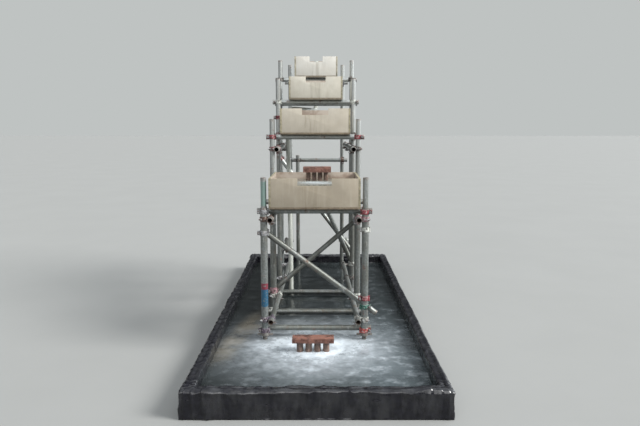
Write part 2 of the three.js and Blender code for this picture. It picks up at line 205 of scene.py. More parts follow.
class Tree:
    """A shader's node tree, with short ways to add nodes. Each gives back the socket it puts out."""

    kind = "ShaderNodeTree"

    def __init__(self, tree):
        self.tree = tree

    @classmethod
    def group(cls, name, inputs, outputs):
        """An empty group, its inputs and its outputs. An input is given as its default or its kind."""
        tree = bpy.data.node_groups.new(name, cls.kind)
        for socket, default in inputs.items():
            kind = default if isinstance(default, str) else "Float"
            item = tree.interface.new_socket(socket, in_out="INPUT", socket_type=f"NodeSocket{kind}")
            if kind != default:
                item.default_value = default
        for socket, kind in outputs.items():
            tree.interface.new_socket(socket, in_out="OUTPUT", socket_type=f"NodeSocket{kind}")
        given, result = (tree.nodes.new(end) for end in ("NodeGroupInput", "NodeGroupOutput"))
        return cls(tree), given.outputs, result.inputs

    def feed(self, socket, value):
        """Links a socket to another, or sets it to a value."""
        if isinstance(value, bpy.types.NodeSocket):
            self.tree.links.new(value, socket)
        else:
            socket.default_value = value

    def add(self, kind, inputs=None, **settings):
        """A node of any kind."""
        node = self.tree.nodes.new(kind)
        for name, value in settings.items():
            setattr(node, name, value)
        for name, value in (inputs or {}).items():
            self.feed(node.inputs[name], value)
        return node

    def out(self, kind, inputs=None, **settings):
        """The first socket that a new node puts out."""
        return self.add(kind, inputs, **settings).outputs[0]

    def calc(self, operation, first, second=0.0):
        return self.out("ShaderNodeMath", {0: first, 1: second}, operation=operation)

    def times(self, first, *others):
        for other in others:
            first = self.calc("MULTIPLY", first, other)
        return first

    def plus(self, first, *others):
        for other in others:
            first = self.calc("ADD", first, other)
        return first

    def apart(self, first, second):
        """How far two numbers are apart."""
        return self.calc("ABSOLUTE", self.calc("SUBTRACT", first, second))

    def vector(self, x, y, z):
        return self.out("ShaderNodeCombineXYZ", {0: x, 1: y, 2: z})

    def split(self, vector):
        return self.add("ShaderNodeSeparateXYZ", {0: vector}).outputs

    def ramp(self, value, start, end, low=0.0, high=1.0):
        """Runs smoothly from low, where value is start, to high, where it is end."""
        return self.out("ShaderNodeMapRange", {
            "Value": value, "From Min": start, "From Max": end, "To Min": low, "To Max": high,
        }, interpolation_type="SMOOTHSTEP")

    def blend(self, factor, first, second):
        """A number between two others."""
        return self.out("ShaderNodeMix", {0: factor, 2: first, 3: second})

    def mix(self, factor, first, second):
        """A colour between two others. Each is a socket or a screen colour's code."""
        first, second = (colour(c) if isinstance(c, str) else c for c in (first, second))
        return self.add("ShaderNodeMix", {0: factor, 6: first, 7: second}, data_type="RGBA").outputs[2]

    def value(self, name):
        """A number that the mesh holds at each point or face."""
        return self.add("ShaderNodeAttribute", attribute_name=name).outputs["Fac"]

    def place(self):
        """X, Y and Z of the point on the object."""
        return self.split(self.add("ShaderNodeTexCoord").outputs["Object"])

    def mottle(self, scale, low, high, stretch=1.0, offset=0.0, detail=4.0):
        """Mask from 0 to 1 of patches about 1 / scale metres across."""
        return self.add("ShaderNodeGroup", {
            "Scale": scale, "Low": low, "High": high, "Stretch": stretch, "Offset": offset,
            "Detail": detail,
        }, node_tree=MOTTLE).outputs["Mask"]

    def bump(self, height, strength, distance):
        return self.out("ShaderNodeBump", {
            "Strength": strength, "Distance": distance, "Height": height,
        })


def mottle_group():
    """Soft patches on Object coordinates, drawn out along Z by Stretch below 1."""
    patches, given, result = Tree.group("mottle", {
        "Scale": 10.0, "Stretch": 1.0, "Low": 0.4, "High": 0.6, "Offset": 0.0, "Detail": 4.0,
    }, {"Mask": "Float"})
    offset = given["Offset"]
    mapped = patches.add("ShaderNodeMapping", {
        "Vector": patches.add("ShaderNodeTexCoord").outputs["Object"],
        "Location": patches.vector(offset, offset, offset),
        "Scale": patches.vector(1.0, 1.0, given["Stretch"]),
    })
    spots = patches.add("ShaderNodeTexNoise", {
        "Vector": mapped.outputs[0], "Scale": given["Scale"], "Detail": given["Detail"],
        "Roughness": 0.6,
    })
    patches.feed(result["Mask"], patches.ramp(spots.outputs["Fac"], given["Low"], given["High"]))
    return patches.tree


def old_paint_group():
    """The mesh's paint over a ground colour, worn through in patches. Its alpha is how much there is."""
    paint, given, result = Tree.group(
        "old_paint", {"Ground": "Color", "Wear Scale": 60.0, "Wear Low": 0.36},
        {"Color": "Color", "Cover": "Float"},
    )
    held = paint.add("ShaderNodeAttribute", attribute_name="paint").outputs
    cover = paint.times(paint.mottle(given["Wear Scale"], given["Wear Low"], 0.46), held["Alpha"])
    paint.feed(result["Color"], paint.mix(cover, given["Ground"], held["Color"]))
    paint.feed(result["Cover"], cover)
    return paint.tree


MOTTLE = mottle_group()
OLD_PAINT = old_paint_group()


# Materials

class Finish(Tree):
    """A material that is built up from a ground colour and coats over it."""

    def __init__(self, name):
        self.material = bpy.data.materials.new(name)
        self.material.use_nodes = True
        super().__init__(self.material.node_tree)

    def ground(self, mask, first, second):
        self.colour = self.mix(mask, first, second)

    def coat(self, mask, shade, amount=1.0):
        """Lays a colour over what is there, as thick as the mask times the amount."""
        self.colour = self.mix(self.times(mask, amount), self.colour, shade)

    def old_paint(self, scale, low):
        """Lays the mesh's old paint over what is there. Gives back where it covers."""
        group = self.add("ShaderNodeGroup", {
            "Ground": self.colour, "Wear Scale": scale, "Wear Low": low,
        }, node_tree=OLD_PAINT)
        self.colour = group.outputs["Color"]
        return group.outputs["Cover"]

    def done(self, **sockets):
        """The material, with these sockets of its shader set or linked, named with _ for spaces."""
        shader = self.tree.nodes["Principled BSDF"]
        for name, value in {"Base_Color": self.colour, **sockets}.items():
            self.feed(shader.inputs[name.replace("_", " ")], value)
        return self.material


def galvanised_material():
    zinc = Finish("weathered_galvanised")
    spangle = zinc.mottle(70, 0.35, 0.68)
    zinc.ground(spangle, "737878", "939897")
    zinc.coat(zinc.value("tone"), "62635d", 0.5)
    zinc.coat(zinc.mottle(3.0, 0.42, 0.62, offset=4.0), "5f6059", 0.6)
    zinc.coat(zinc.mottle(42, 0.46, 0.72, stretch=0.09, offset=9.0), "5d5a50", 0.55)
    lime = zinc.mottle(26, 0.60, 0.74, stretch=0.3, offset=15.0, detail=6.0)
    zinc.coat(lime, "c3c5c0", 0.6)
    # Paler towards the top of the tower
    paler_higher_up = zinc.ramp(zinc.place()[2], 0.8, 2.2, high=0.42)
    zinc.coat(paler_higher_up, "d6d9d8")
    rust = zinc.plus(zinc.mottle(17, 0.56, 0.74, offset=21.0, detail=6.0), zinc.value("wear"))
    rust = zinc.calc("MINIMUM", zinc.times(rust, zinc.mottle(90, 0.3, 0.6)), 0.85)
    zinc.coat(rust, zinc.mix(spangle, "4b3328", "7a5340"))
    cover = zinc.old_paint(60.0, 0.36)
    bare = zinc.calc("SUBTRACT", 1.0, zinc.calc("MAXIMUM", cover, rust))
    return zinc.done(
        Metallic=zinc.times(bare, 0.68),
        Roughness=zinc.blend(zinc.calc("MAXIMUM", rust, lime), 0.45, 0.80),
        Normal=zinc.bump(zinc.plus(rust, spangle), 0.25, 0.0006),
    )


def coupler_material():
    steel = Finish("coupler_steel")
    grain = steel.mottle(120, 0.35, 0.7)
    grime = steel.mottle(45, 0.5, 0.7, offset=3.0)
    steel.ground(grain, "5d5b58", "8b8a86")
    steel.coat(grime, "4a372d", 0.8)
    steel.old_paint(75.0, 0.3)
    steel.coat(steel.mottle(62, 0.48, 0.66, offset=7.0, detail=6.0), "b9b5b1", 0.62)
    steel.coat(steel.mottle(44, 0.47, 0.62, offset=17.0, detail=6.0), "27201f", 0.8)
    return steel.done(
        Metallic=0.25, Roughness=steel.blend(grime, 0.5, 0.8), Normal=steel.bump(grain, 0.4, 0.0008),
    )


def bolt_material():
    steel = Finish("bolt_steel")
    grain = steel.mottle(160, 0.35, 0.7)
    rust = steel.mottle(60, 0.45, 0.62, offset=11.0)
    steel.ground(grain, "77777a", "b3b4b4")
    steel.coat(rust, "5a4032")
    return steel.done(
        Metallic=0.55, Roughness=steel.blend(rust, 0.38, 0.8), Normal=steel.bump(grain, 0.3, 0.0005),
    )


def thread_material():
    steel = Finish("greasy_thread")
    grease = steel.mottle(40, 0.4, 0.65)
    steel.ground(grease, "6d6c68", "3a342e")
    return steel.done(
        Metallic=0.5, Roughness=steel.blend(grease, 0.55, 0.35), Normal=steel.bump(grease, 0.2, 0.0005),
    )


def ply_material(label, look, walls):
    """Film-faced plywood of one basin, with its cut edges and the wet stain under its overflow."""
    low, high = walls
    ply = Finish(f"{label}_ply")
    x, _, z = ply.place()
    fibres = ply.mottle(240, 0.3, 0.7, stretch=0.06)
    cloud = ply.mottle(5.5, 0.35, 0.68, offset=2.0)
    ply.ground(ply.times(cloud, 0.55), look["face"], look["stain"])
    ply.coat(fibres, "8a7a63", 0.14)
    ply.coat(ply.mottle(30, 0.5, 0.78, stretch=0.05, offset=6.0, detail=3.0), "cfcabb", 0.15)
    damp = ply.mottle(8, 0.42, 0.62, offset=19.0, detail=6.0)
    ply.coat(ply.value("ply_inner"), ply.mix(damp, "a2968b", "7d6a5d"), 0.8)

    # The wet stain down the front, wavering at its sides
    half = look["overflow"] / 2
    waver = ply.times(ply.mottle(11, 0.3, 0.7, stretch=0.4, offset=12.0), 0.08)
    aside = ply.apart(x, (low.x + high.x) / 2)
    run = ply.ramp(ply.plus(aside, waver), half + 0.07, half - 0.02)
    below = ply.calc("LESS_THAN", z, high.z - OVERFLOW_DEPTH)
    normal = ply.split(ply.add("ShaderNodeNewGeometry").outputs["Normal"])
    ahead = ply.calc("LESS_THAN", normal[1], -0.5)
    trickles = ply.mottle(26, 0.34, 0.66, stretch=0.07, offset=35.0, detail=5.0)
    wet = ply.times(run, below, ahead, trickles)
    ply.coat(wet, "746a5a", 0.30)
    film = ply.colour

    # Plies show where the board was cut
    plies = ply.calc("FRACT", ply.times(ply.value("ply_depth"), PLY_LAYERS))
    ply.ground(ply.calc("GREATER_THAN", plies, 0.5), look["edge"], "857d68")
    ply.coat(ply.mottle(40, 0.42, 0.68, offset=8.0), "5b5748", 0.7)
    # The cut edges lower than the walls are darker
    ply.coat(ply.calc("LESS_THAN", z, low.z), "4a342c", 0.55)
    cut = ply.value("ply_cut")
    ply.ground(cut, film, ply.colour)
    return ply.done(
        Roughness=ply.blend(wet, ply.blend(cloud, 0.42, 0.58), 0.18),
        Normal=ply.bump(ply.plus(fibres, ply.times(cut, plies)), 0.15, 0.0006),
    )


def bench_material():
    wood = Finish("red_brown_board")
    grain = wood.mottle(160, 0.3, 0.7)
    wet = wood.mottle(18, 0.42, 0.62, offset=5.0)
    wood.ground(grain, "634035", "825a4d")
    wood.coat(wet, "3e2a26", 0.7)
    wood.coat(wood.mottle(70, 0.54, 0.72, offset=13.0), "967b73", 0.6)
    return wood.done(Roughness=wood.blend(wet, 0.6, 0.25), Normal=wood.bump(grain, 0.35, 0.0012))


def stub_material():
    wood = Finish("wet_round_timber")
    grain = wood.mottle(120, 0.3, 0.7, stretch=0.08)
    tide = wood.mottle(12, 0.4, 0.6, offset=4.0)
    wood.ground(grain, "5b463d", "8b7468")
    wood.coat(tide, "3c332d", 0.6)
    return wood.done(Roughness=wood.blend(tide, 0.55, 0.25), Normal=wood.bump(grain, 0.4, 0.001))


def pipe_material():
    pipe = Finish("pale_pipe")
    film = pipe.mottle(14, 0.4, 0.7, stretch=0.3)
    speck = pipe.mottle(150, 0.5, 0.75, offset=2.0)
    pipe.ground(film, "b9bcb6", "9a9d95")
    pipe.coat(speck, "7e8178", 0.4)
    return pipe.done(Roughness=pipe.blend(film, 0.35, 0.5), Normal=pipe.bump(speck, 0.1, 0.0005))


def liner_material():
    rubber = Finish("black_liner")
    crumple = rubber.mottle(38, 0.3, 0.7, detail=6.0)
    dust = rubber.mottle(15, 0.46, 0.76, stretch=0.4, offset=3.0, detail=8.0)
    rubber.ground(crumple, "0a0a0f", "14141b")
    rubber.coat(dust, "3b3a38", 0.18)
    wet = rubber.mottle(12, 0.38, 0.66, stretch=0.3, offset=31.0, detail=7.0)
    return rubber.done(
        Roughness=rubber.blend(dust, 0.24, 0.44), Specular_IOR_Level=0.36, Coat_Weight=wet,
        Coat_Roughness=0.10, Normal=rubber.bump(crumple, 0.30, 0.0016),
    )


def kerb_core_material():
    timber = Finish("rough_kerb_timber")
    grain = timber.mottle(90, 0.3, 0.7, stretch=4.0)
    timber.ground(grain, "7d6a52", "9b876b")
    return timber.done(Roughness=0.8, Normal=timber.bump(grain, 0.4, 0.001))


def water_material(name, reflection_dark, reflection_light, foam_amount, silt):
    """Water with a painted reflection: dark at the back and left, lighter at the front and right. White where
    it is churned.
    """
    water = Finish(name)
    x, y, _ = water.place()
    # Painted reflection: the colour is darker towards the back and the left and lighter towards the front and
    # the right, in patches
    cloud = water.mottle(1.6, 0.36, 0.64, offset=1.0, detail=5.0)
    lighter_to_front = water.ramp(y, 0.6, -1.6, low=0.3)
    lighter_to_right = water.ramp(x, -0.75, 0.6, low=0.22)
    clear = water.times(lighter_to_front, lighter_to_right, water.blend(cloud, 1.0, 0.55))
    water.ground(clear, reflection_dark, reflection_light)

    # Silt that has drifted to the left side
    drift = water.calc("SUBTRACT", water.times(y, 0.2), 0.51)
    leftward = water.ramp(water.apart(x, drift), 0.17, 0.02, high=silt)
    settled = water.ramp(water.apart(y, -0.85), 0.95, 0.15)
    stirred = water.times(leftward, settled, water.mottle(3.2, 0.30, 0.60, offset=27.0))
    water.coat(stirred, "7d7360")

    # Foam in the middle of the ripples, and wisps of it further off
    flecks = water.mottle(17, 0.34, 0.76, offset=9.0, detail=5.0)
    churned = water.mottle(4, 0.30, 0.70, offset=14.0)
    lace = water.plus(0.50, water.plus(water.times(flecks, 0.42), water.times(churned, 0.50)))
    wisps = water.times(water.mottle(9, 0.46, 0.84, offset=23.0, detail=8.0), clear, 0.50)
    froth = water.plus(water.times(water.value("foam"), lace), wisps)
    froth = water.calc("MINIMUM", froth, 1.0)
    water.coat(froth, "e2ebf3", foam_amount)
    return water.done(
        Roughness=water.blend(froth, 0.06, 0.45), IOR=1.333, Transmission_Weight=0.22,
        Normal=water.bump(water.mottle(55, 0.2, 0.8, offset=5.0), 0.12, 0.004),
    )


def floor_material():
    floor = Finish("pale_floor")
    floor.ground(floor.mottle(0.8, 0.3, 0.7), "828382", "848584")
    return floor.done(Roughness=0.95)


# Pieces

def in_scene(name, data):
    """A new object of the scene."""
    thing = bpy.data.objects.new(name, data)
    bpy.context.scene.collection.objects.link(thing)
    return thing


def layer(elements, kind, name):
    """A named layer of a bmesh's points or faces, made if it isn't there yet."""
    layers = getattr(elements.layers, kind)
    return layers.get(name) or layers.new(name)


def surface(points, faces):
    """A bmesh of these points and faces."""
    mesh = bpy.data.meshes.new("surface")
    mesh.from_pydata(points, [], faces)
    bm = bmesh.new()
    bm.from_mesh(mesh)
    bpy.data.meshes.remove(mesh)
    return bm


def finish_mesh(bm, name, sharp):
    """A mesh from bm with its faces outward, smooth but for edges sharper than so many degrees."""
    bmesh.ops.recalc_face_normals(bm, faces=bm.faces)
    for face in bm.faces:
        face.smooth = True
    for edge in bm.edges:
        if len(edge.link_faces) == 2:
            edge.smooth = edge.calc_face_angle(0.0) < math.radians(sharp)
    mesh = bpy.data.meshes.new(name)
    bm.to_mesh(mesh)
    bm.free()
    return mesh


def add_piece(name, mesh, materials, slot, *nodes):
    """Puts a finished mesh in the scene, riding on the fountain, in place of these nodes."""
    if not mesh.materials:
        for material in materials:
            mesh.materials.append(material)
    tone = mesh.attributes.new("tone", "FLOAT", "POINT")
    tone.data.foreach_set("value", [random.Random(name).random()] * len(mesh.vertices))
    piece = in_scene(name, mesh)
    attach(piece, "root")
    if nodes:
        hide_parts(*nodes)
    return piece


def add_solid(name, bm, materials, slot, *nodes, sharp=32):
    return add_piece(name, finish_mesh(bm, name, sharp), materials, slot, *nodes)


def circle(sides, radius=1.0, start=0.0):
    """Points (x, y) round a circle, the first of them so many steps on."""
    angles = [2 * math.pi * (k + start) / sides for k in range(sides)]
    return [(radius * math.cos(angle), radius * math.sin(angle)) for angle in angles]


def skin(bm, first, second):
    """Faces between two rings of as many points."""
    after = [k + 1 for k in range(len(first) - 1)] + [0]
    return [bm.faces.new([first[k], first[n], second[n], second[k]]) for k, n in enumerate(after)]


def turned(bm, profile, sides, place, finish=0, wear=0.0, paint=lambda height: BARE):
    """Turns a closed profile of (radius, height) about the Z axis of place.

    A point may give its own wear after its height. A radius of 0 is a point on the axis."""
    wear_layer = layer(bm.verts, "float", "wear")
    paint_layer = layer(bm.faces, "float_color", "paint")
    rings = []
    for radius, height, *own_wear in profile:
        spots = circle(sides if radius else 1, radius)
        ring = [bm.verts.new(place @ Vector((x, y, height))) for x, y in spots]
        for vertex in ring:
            vertex[wear_layer] = own_wear[0] if own_wear else wear
        rings.append(ring)
    for index, ring in enumerate(rings):
        after = rings[(index + 1) % len(rings)]
        if len(ring) == len(after) == 1:
            continue
        middle = (profile[index][1] + profile[(index + 1) % len(profile)][1]) / 2
        for k in range(sides):
            corners = [
                ring[k % len(ring)], ring[(k + 1) % len(ring)],
                after[(k + 1) % len(after)], after[k % len(after)],
            ]
            face = bm.faces.new(list(dict.fromkeys(corners)))
            face.material_index = finish
            face[paint_layer] = paint(middle)


def bevelled_box(bm, low, high, bevel):
    """A box with rounded edges between two corners, worn a little."""
    wear_layer = layer(bm.verts, "float", "wear")
    paint_layer = layer(bm.faces, "float_color", "paint")
    made = bmesh.ops.create_cube(bm, size=1.0)["verts"]
    middle, size = (low + high) / 2, high - low
    for vertex in made:
        vertex.co = Vector(a * b for a, b in zip(vertex.co, size)) + middle
        vertex[wear_layer] = 0.45
    edges = list(dict.fromkeys(edge for vertex in made for edge in vertex.link_edges))
    made = bmesh.ops.bevel(bm, geom=edges, offset=bevel, segments=2, profile=0.7, affect="EDGES")
    for face in {face for vertex in made["verts"] for face in vertex.link_faces}:
        face[paint_layer] = BARE


# Tubes, read off the CAD nodes

def cad_points(node):
    points = np.array([v.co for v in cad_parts[node].data.vertices])
    return np.unique(np.round(points, 6), axis=0)


def tube_ends(node, along=None):
    """Middles of the end rings of a CAD tube, which are its furthest points along its axis."""
    points = cad_points(node)
    centre = points.mean(0)
    if along is None:
        along = np.linalg.svd(points - centre, full_matrices=False)[2][0]
        along = along * np.sign(along[np.argmax(np.abs(along))])
    reach = (points - centre) @ np.array(along)
    ring = 0.0008
    low, high = points[reach < reach.min() + ring], points[reach > reach.max() - ring]
    return Vector(low.mean(0)), Vector(high.mean(0))


def wall_profile(length, wall=TUBE_WALL, radius=TUBE_RADIUS, levels=()):
    """Section of an open tube with slightly rounded ends, rusty near them."""
    lip = 0.0007
    worn = 0.03
    outer = [(radius - lip, 0.0, 0.5), (radius, lip, 0.5), (radius, worn, 0.0)]
    outer += [(radius, level, 0.0) for level in sorted(levels)]
    outer += [(radius, length - worn, 0.0), (radius, length - lip, 0.5), (radius - lip, length, 0.5)]
    bore = radius - wall
    inner = [(bore, length, 0.6), (bore, length - 2 * worn, 0.9), (bore, 2 * worn, 0.9), (bore, 0.0, 0.6)]
    return outer + inner


def open_tube(node):
    """An open tube in place of a CAD node, from one of its ends to the other."""
    start, end = TUBES[node]
    z = (end - start).normalized()
    x = (Z_AXIS if abs(z.z) < 0.9 else Y_AXIS).cross(z).normalized()
    place = Matrix.Translation(start) @ Matrix((x, z.cross(x), z)).transposed().to_4x4()
    bm = bmesh.new()
    turned(bm, wall_profile((end - start).length), TUBE_SIDES, place)
    add_solid(f"tube_{node}", bm, [STEEL], "galvanised", node)


def posts():
    """Foot and top of each post's axis."""
    tip = 0.0005
    found = {}
    for row in ROWS:
        for side in SIDES:
            points = cad_points(f"post_{row}_{side}")
            top = points[points[:, 2] > points[:, 2].max() - tip].mean(0)
            foot = FRONT_FOOT if row == "a" else REAR_FOOT
            found[f"post_{row}_{side}"] = (Vector((top[0], top[1], foot)), Vector(top))
    return found


def post_radius(name, height):
    sleeved = name.startswith("post_") and name[5] in SLEEVED_ROWS
    return SLEEVE_RADIUS if sleeved and height < SLEEVE_TOP else TUBE_RADIUS


def upright(node):
    """A post: one tube, with a wider tube round its lower part in the sleeved rows."""
    foot, top = POSTS[node]
    bands = PAINT_BANDS.get(node, [])
    bm = bmesh.new()

    def tube(base, end, shown, wall, radius):
        """A tube of the post between two heights. Its paint starts where it shows."""
        def paint(height):
            shades = [PAINTS[name] for low, high, name in bands if low < base + height < high]
            return shades[0] if shades else BARE

        levels = [level - base for band in bands for level in band[:2] if shown < level < end]
        place = Matrix.Translation((foot.x, foot.y, base))
        turned(bm, wall_profile(end - base, wall, radius, levels), TUBE_SIDES, place, paint=paint)

    if node[5] in SLEEVED_ROWS:
        tube(foot.z, SLEEVE_TOP, foot.z, SLEEVE_WALL, SLEEVE_RADIUS)
        tube(foot.z + INNER_TUBE_START, top.z, SLEEVE_TOP, TUBE_WALL, TUBE_RADIUS)
    else:
        tube(foot.z, top.z, foot.z, TUBE_WALL, TUBE_RADIUS)
    add_solid(node.replace("post", "upright"), bm, [STEEL], "galvanised", node)


# Geometry node trees

class Shape(Tree):
    """A tree that makes a shape."""

    kind = "GeometryNodeTree"

    def rod(self, radius, depth, sides):
        return self.out("GeometryNodeMeshCylinder", {
            "Vertices": sides, "Radius": radius, "Depth": depth,
        })

    def placed(self, geometry, move, turn=(0.0, 0.0, 0.0)):
        return self.out("GeometryNodeTransform", {
            "Geometry": geometry, "Translation": move, "Rotation": turn,
        })

    def joined(self, *parts):
        node = self.add("GeometryNodeJoinGeometry")
        for part in parts:
            self.tree.links.new(part, node.inputs[0])
        return node.outputs[0]

    def coated(self, geometry, material):
        return self.out("GeometryNodeSetMaterial", {
            "Geometry": geometry, "Material": material,
        })

    def named(self, name, data_type):
        """A value that each point holds."""
        return self.out("GeometryNodeInputNamedAttribute", {"Name": name}, data_type=data_type)

    def copies(self, points, shape, inputs=None):
        """The shape on each point, turned as the point says."""
        turn = self.out("FunctionNodeEulerToRotation", {"Euler": self.named("turn", "FLOAT_VECTOR")})
        return self.out("GeometryNodeInstanceOnPoints", {
            "Points": points, "Instance": shape, "Rotation": turn, **(inputs or {}),
        })

    def realized(self, geometry):
        return self.out("GeometryNodeRealizeInstances", {"Geometry": geometry})


def grown(name, mesh, tree, values):
    """The mesh that a geometry node tree makes from mesh with these named inputs."""
    source = in_scene(f"{name}_source", mesh)
    modifier = source.modifiers.new("grow", "NODES")
    modifier.node_group = tree
    for item in tree.interface.items_tree:
        if item.in_out == "INPUT" and item.name in values:
            modifier[item.identifier] = values[item.name]
    evaluated = source.evaluated_get(bpy.context.evaluated_depsgraph_get())
    result = bpy.data.meshes.new_from_object(evaluated)
    source.modifiers.remove(modifier)
    bpy.data.objects.remove(source)
    result.name = name
    return result


def point_cloud(name, places, **values):
    """A mesh of loose points that hold whole numbers, vectors or colours, for a tree to use."""
    mesh = bpy.data.meshes.new(name)
    mesh.from_pydata([tuple(place) for place in places], [], [])
    kinds = {1: ("INT", "value"), 3: ("FLOAT_VECTOR", "vector"), 4: ("FLOAT_COLOR", "color")}
    for label, column in values.items():
        flat = np.array(column).ravel().tolist()
        kind, field = kinds[len(flat) // len(places)]
        mesh.attributes.new(label, kind, "POINT").data.foreach_set(field, flat)
    return mesh


def bent_plate(tree, radius, thickness, width, start, sweep, steps):
    """A plate bent round Z through sweep degrees, a little narrower outside than inside."""
    start, sweep = math.radians(start), math.radians(sweep)
    flat = tree.out("GeometryNodeMeshCube", {
        "Size": tree.vector(sweep, 1.0, 1.0), "Vertices X": steps, "Vertices Y": 2, "Vertices Z": 2,
    })
    x, y, z = tree.split(tree.out("GeometryNodeInputPosition"))
    angle = tree.plus(x, start + sweep / 2)
    outward = tree.plus(y, 0.5)
    reach = tree.plus(radius, tree.times(outward, thickness))
    draft = tree.calc("SUBTRACT", 1.0, tree.times(outward, 0.16))
    place = tree.vector(
        tree.times(reach, tree.calc("COSINE", angle)), tree.times(reach, tree.calc("SINE", angle)),
        tree.times(z, width, draft),
    )
    bent = tree.out("GeometryNodeSetPosition", {"Geometry": flat, "Position": place})
    return tree.out("GeometryNodeFlipFaces", {"Mesh": bent})


# Shank, washer, nut and head of a coupler's bolt: radius in bolt radii, length, sides, place along it
BOLT_PARTS = [
    (1.0, 0.056, 8, -0.010), (2.1, 0.003, 10, -0.0132), (1.95, 0.014, 6, -0.0215), (1.7, 0.007, 6, 0.015),
]


def clamp(tree, given, tube_radius):
    """One half of a coupler round a tube along Z: saddle toward +Y, flap, hinge, bolt and nut."""
    width, bolt = given["Band Width"], given["Bolt Radius"]
    radius = tree.plus(tube_radius, 0.0002)
    saddle = bent_plate(tree, radius, given["Band Thickness"], width, -4, 190, 15)
    flap = bent_plate(tree, radius, given["Flap Thickness"], tree.times(width, 0.9), 190, 163, 13)
    side = tree.plus(radius, tree.times(bolt, 2.0))
    hinge_x = tree.times(tree.plus(radius, 0.007), -1.0)
    pin = tree.rod(given["Hinge Radius"], tree.times(width, 1.04), 8)
    hinge = tree.placed(pin, tree.vector(hinge_x, -0.004, 0.0))
    size = tree.vector(tree.times(bolt, 4.2), given["Lug Thickness"], tree.times(width, 0.72))
    lug = tree.out("GeometryNodeMeshCube", {"Size": size})
    offsets = [tree.times(given["Lug Spacing"], half) for half in (0.5, -0.5)]
    lugs = [tree.placed(lug, tree.vector(side, offset, 0.0)) for offset in offsets]
    body = tree.coated(tree.joined(saddle, flap, hinge, *lugs), given["Body"])
    fastening = []
    for girth, length, sides, y in BOLT_PARTS:
        part = tree.rod(tree.times(bolt, girth), length, sides)
        fastening.append(tree.placed(part, tree.vector(side, y, 0.0), ACROSS))
    return tree.joined(body, tree.coated(tree.joined(*fastening), given["Bolts"]))


def coupler_tree():
    """Clamps and the blocks between them, on points that hold a turn, a stretch and a kind."""
    tree, given, result = Shape.group("scaffold_couplers", {
        "Points": "Geometry", "Tube Radius": TUBE_RADIUS, "Sleeve Radius": SLEEVE_RADIUS,
        "Band Width": 0.046, "Band Thickness": 0.0062, "Flap Thickness": 0.0046,
        "Bolt Radius": 0.0062, "Hinge Radius": 0.0065, "Lug Thickness": 0.008, "Lug Spacing": 0.015,
        "Block Radius": 0.0215, "Body": "Material", "Bolts": "Material",
    }, {"Mesh": "Geometry"})
    block = tree.placed(tree.rod(given["Block Radius"], 1.0, 12), (0.0, 0.0, 0.0), ACROSS)
    shapes = [
        clamp(tree, given, given["Tube Radius"]), clamp(tree, given, given["Sleeve Radius"]),
        tree.coated(block, given["Body"]),
    ]
    copies = []
    for kind, shape in enumerate(shapes):
        chosen = tree.out("FunctionNodeCompare", {
            2: tree.named("kind", "INT"), 3: kind,
        }, data_type="INT", operation="EQUAL")
        stretch = tree.named("stretch", "FLOAT_VECTOR")
        copies.append(tree.copies(given["Points"], shape, {"Selection": chosen, "Scale": stretch}))
    tree.feed(result["Mesh"], tree.realized(tree.joined(*copies)))
    return tree.tree


def thread_tree():
    """A screw thread: a spiral ridge round a spindle."""
    tree, given, result = Shape.group("screw_thread", {
        "Geometry": "Geometry", "Radius": JACK_SPINDLE_RADIUS, "Ridge": 0.0016, "Turns": 6.0,
        "Height": 0.05, "Material": "Material",
    }, {"Mesh": "Geometry"})
    spiral = tree.out("GeometryNodeCurveSpiral", {
        "Resolution": 20, "Rotations": given["Turns"], "Start Radius": given["Radius"],
        "End Radius": given["Radius"], "Height": given["Height"],
    })
    ridge = tree.out("GeometryNodeCurvePrimitiveCircle", {"Resolution": 5, "Radius": given["Ridge"]})
    swept = tree.out("GeometryNodeCurveToMesh", {
        "Curve": spiral, "Profile Curve": ridge, "Fill Caps": True,
    })
    tree.feed(result["Mesh"], tree.coated(tree.realized(swept), given["Material"]))
    return tree.tree


def screw_tree():
    """Sunk screw heads on points, each turned to face out of its board."""
    tree, given, result = Shape.group("screw_heads", {
        "Points": "Geometry", "Head Radius": 0.0042, "Head Height": 0.0012, "Material": "Material",
    }, {"Mesh": "Geometry"})
    head = tree.out("GeometryNodeMeshCone", {
        "Vertices": 10, "Radius Top": tree.times(given["Head Radius"], 0.8),
        "Radius Bottom": given["Head Radius"], "Depth": given["Head Height"],
    })
    heads = tree.realized(tree.copies(given["Points"], head))
    tree.feed(result["Mesh"], tree.coated(heads, given["Material"]))
    return tree.tree


# Couplers

def nearest_points(first, second):
    """Where two straight tubes pass nearest each other: a point on each, or None past an end."""
    met = geometry.intersect_line_line(*first, *second)
    for point, tube in zip(met or (), (first, second)):
        if not 0 < geometry.intersect_point_line(point, *tube)[1] < 1:
            return None
    return met


def clamp_turn(axis, toward, bolt_side):
    """Turn that lays a clamp's Z along the tube, its saddle toward its partner and its bolt aside."""
    z = axis.normalized()
    y = (toward - z * toward.dot(z)).normalized()
    x = y.cross(z)
    if x.dot(bolt_side) < 0:
        z, x = -z, -x
    return tuple(Matrix((x, y, z)).transposed().to_euler("XYZ"))


def bolt_side(axis, place):
    """Bolts hang below a level tube, and stand outward or frontward on a post."""
    if abs(axis.normalized().z) < 0.8:
        return -Z_AXIS
    return Vector((math.copysign(1.0, place.x), -0.6, 0.0))


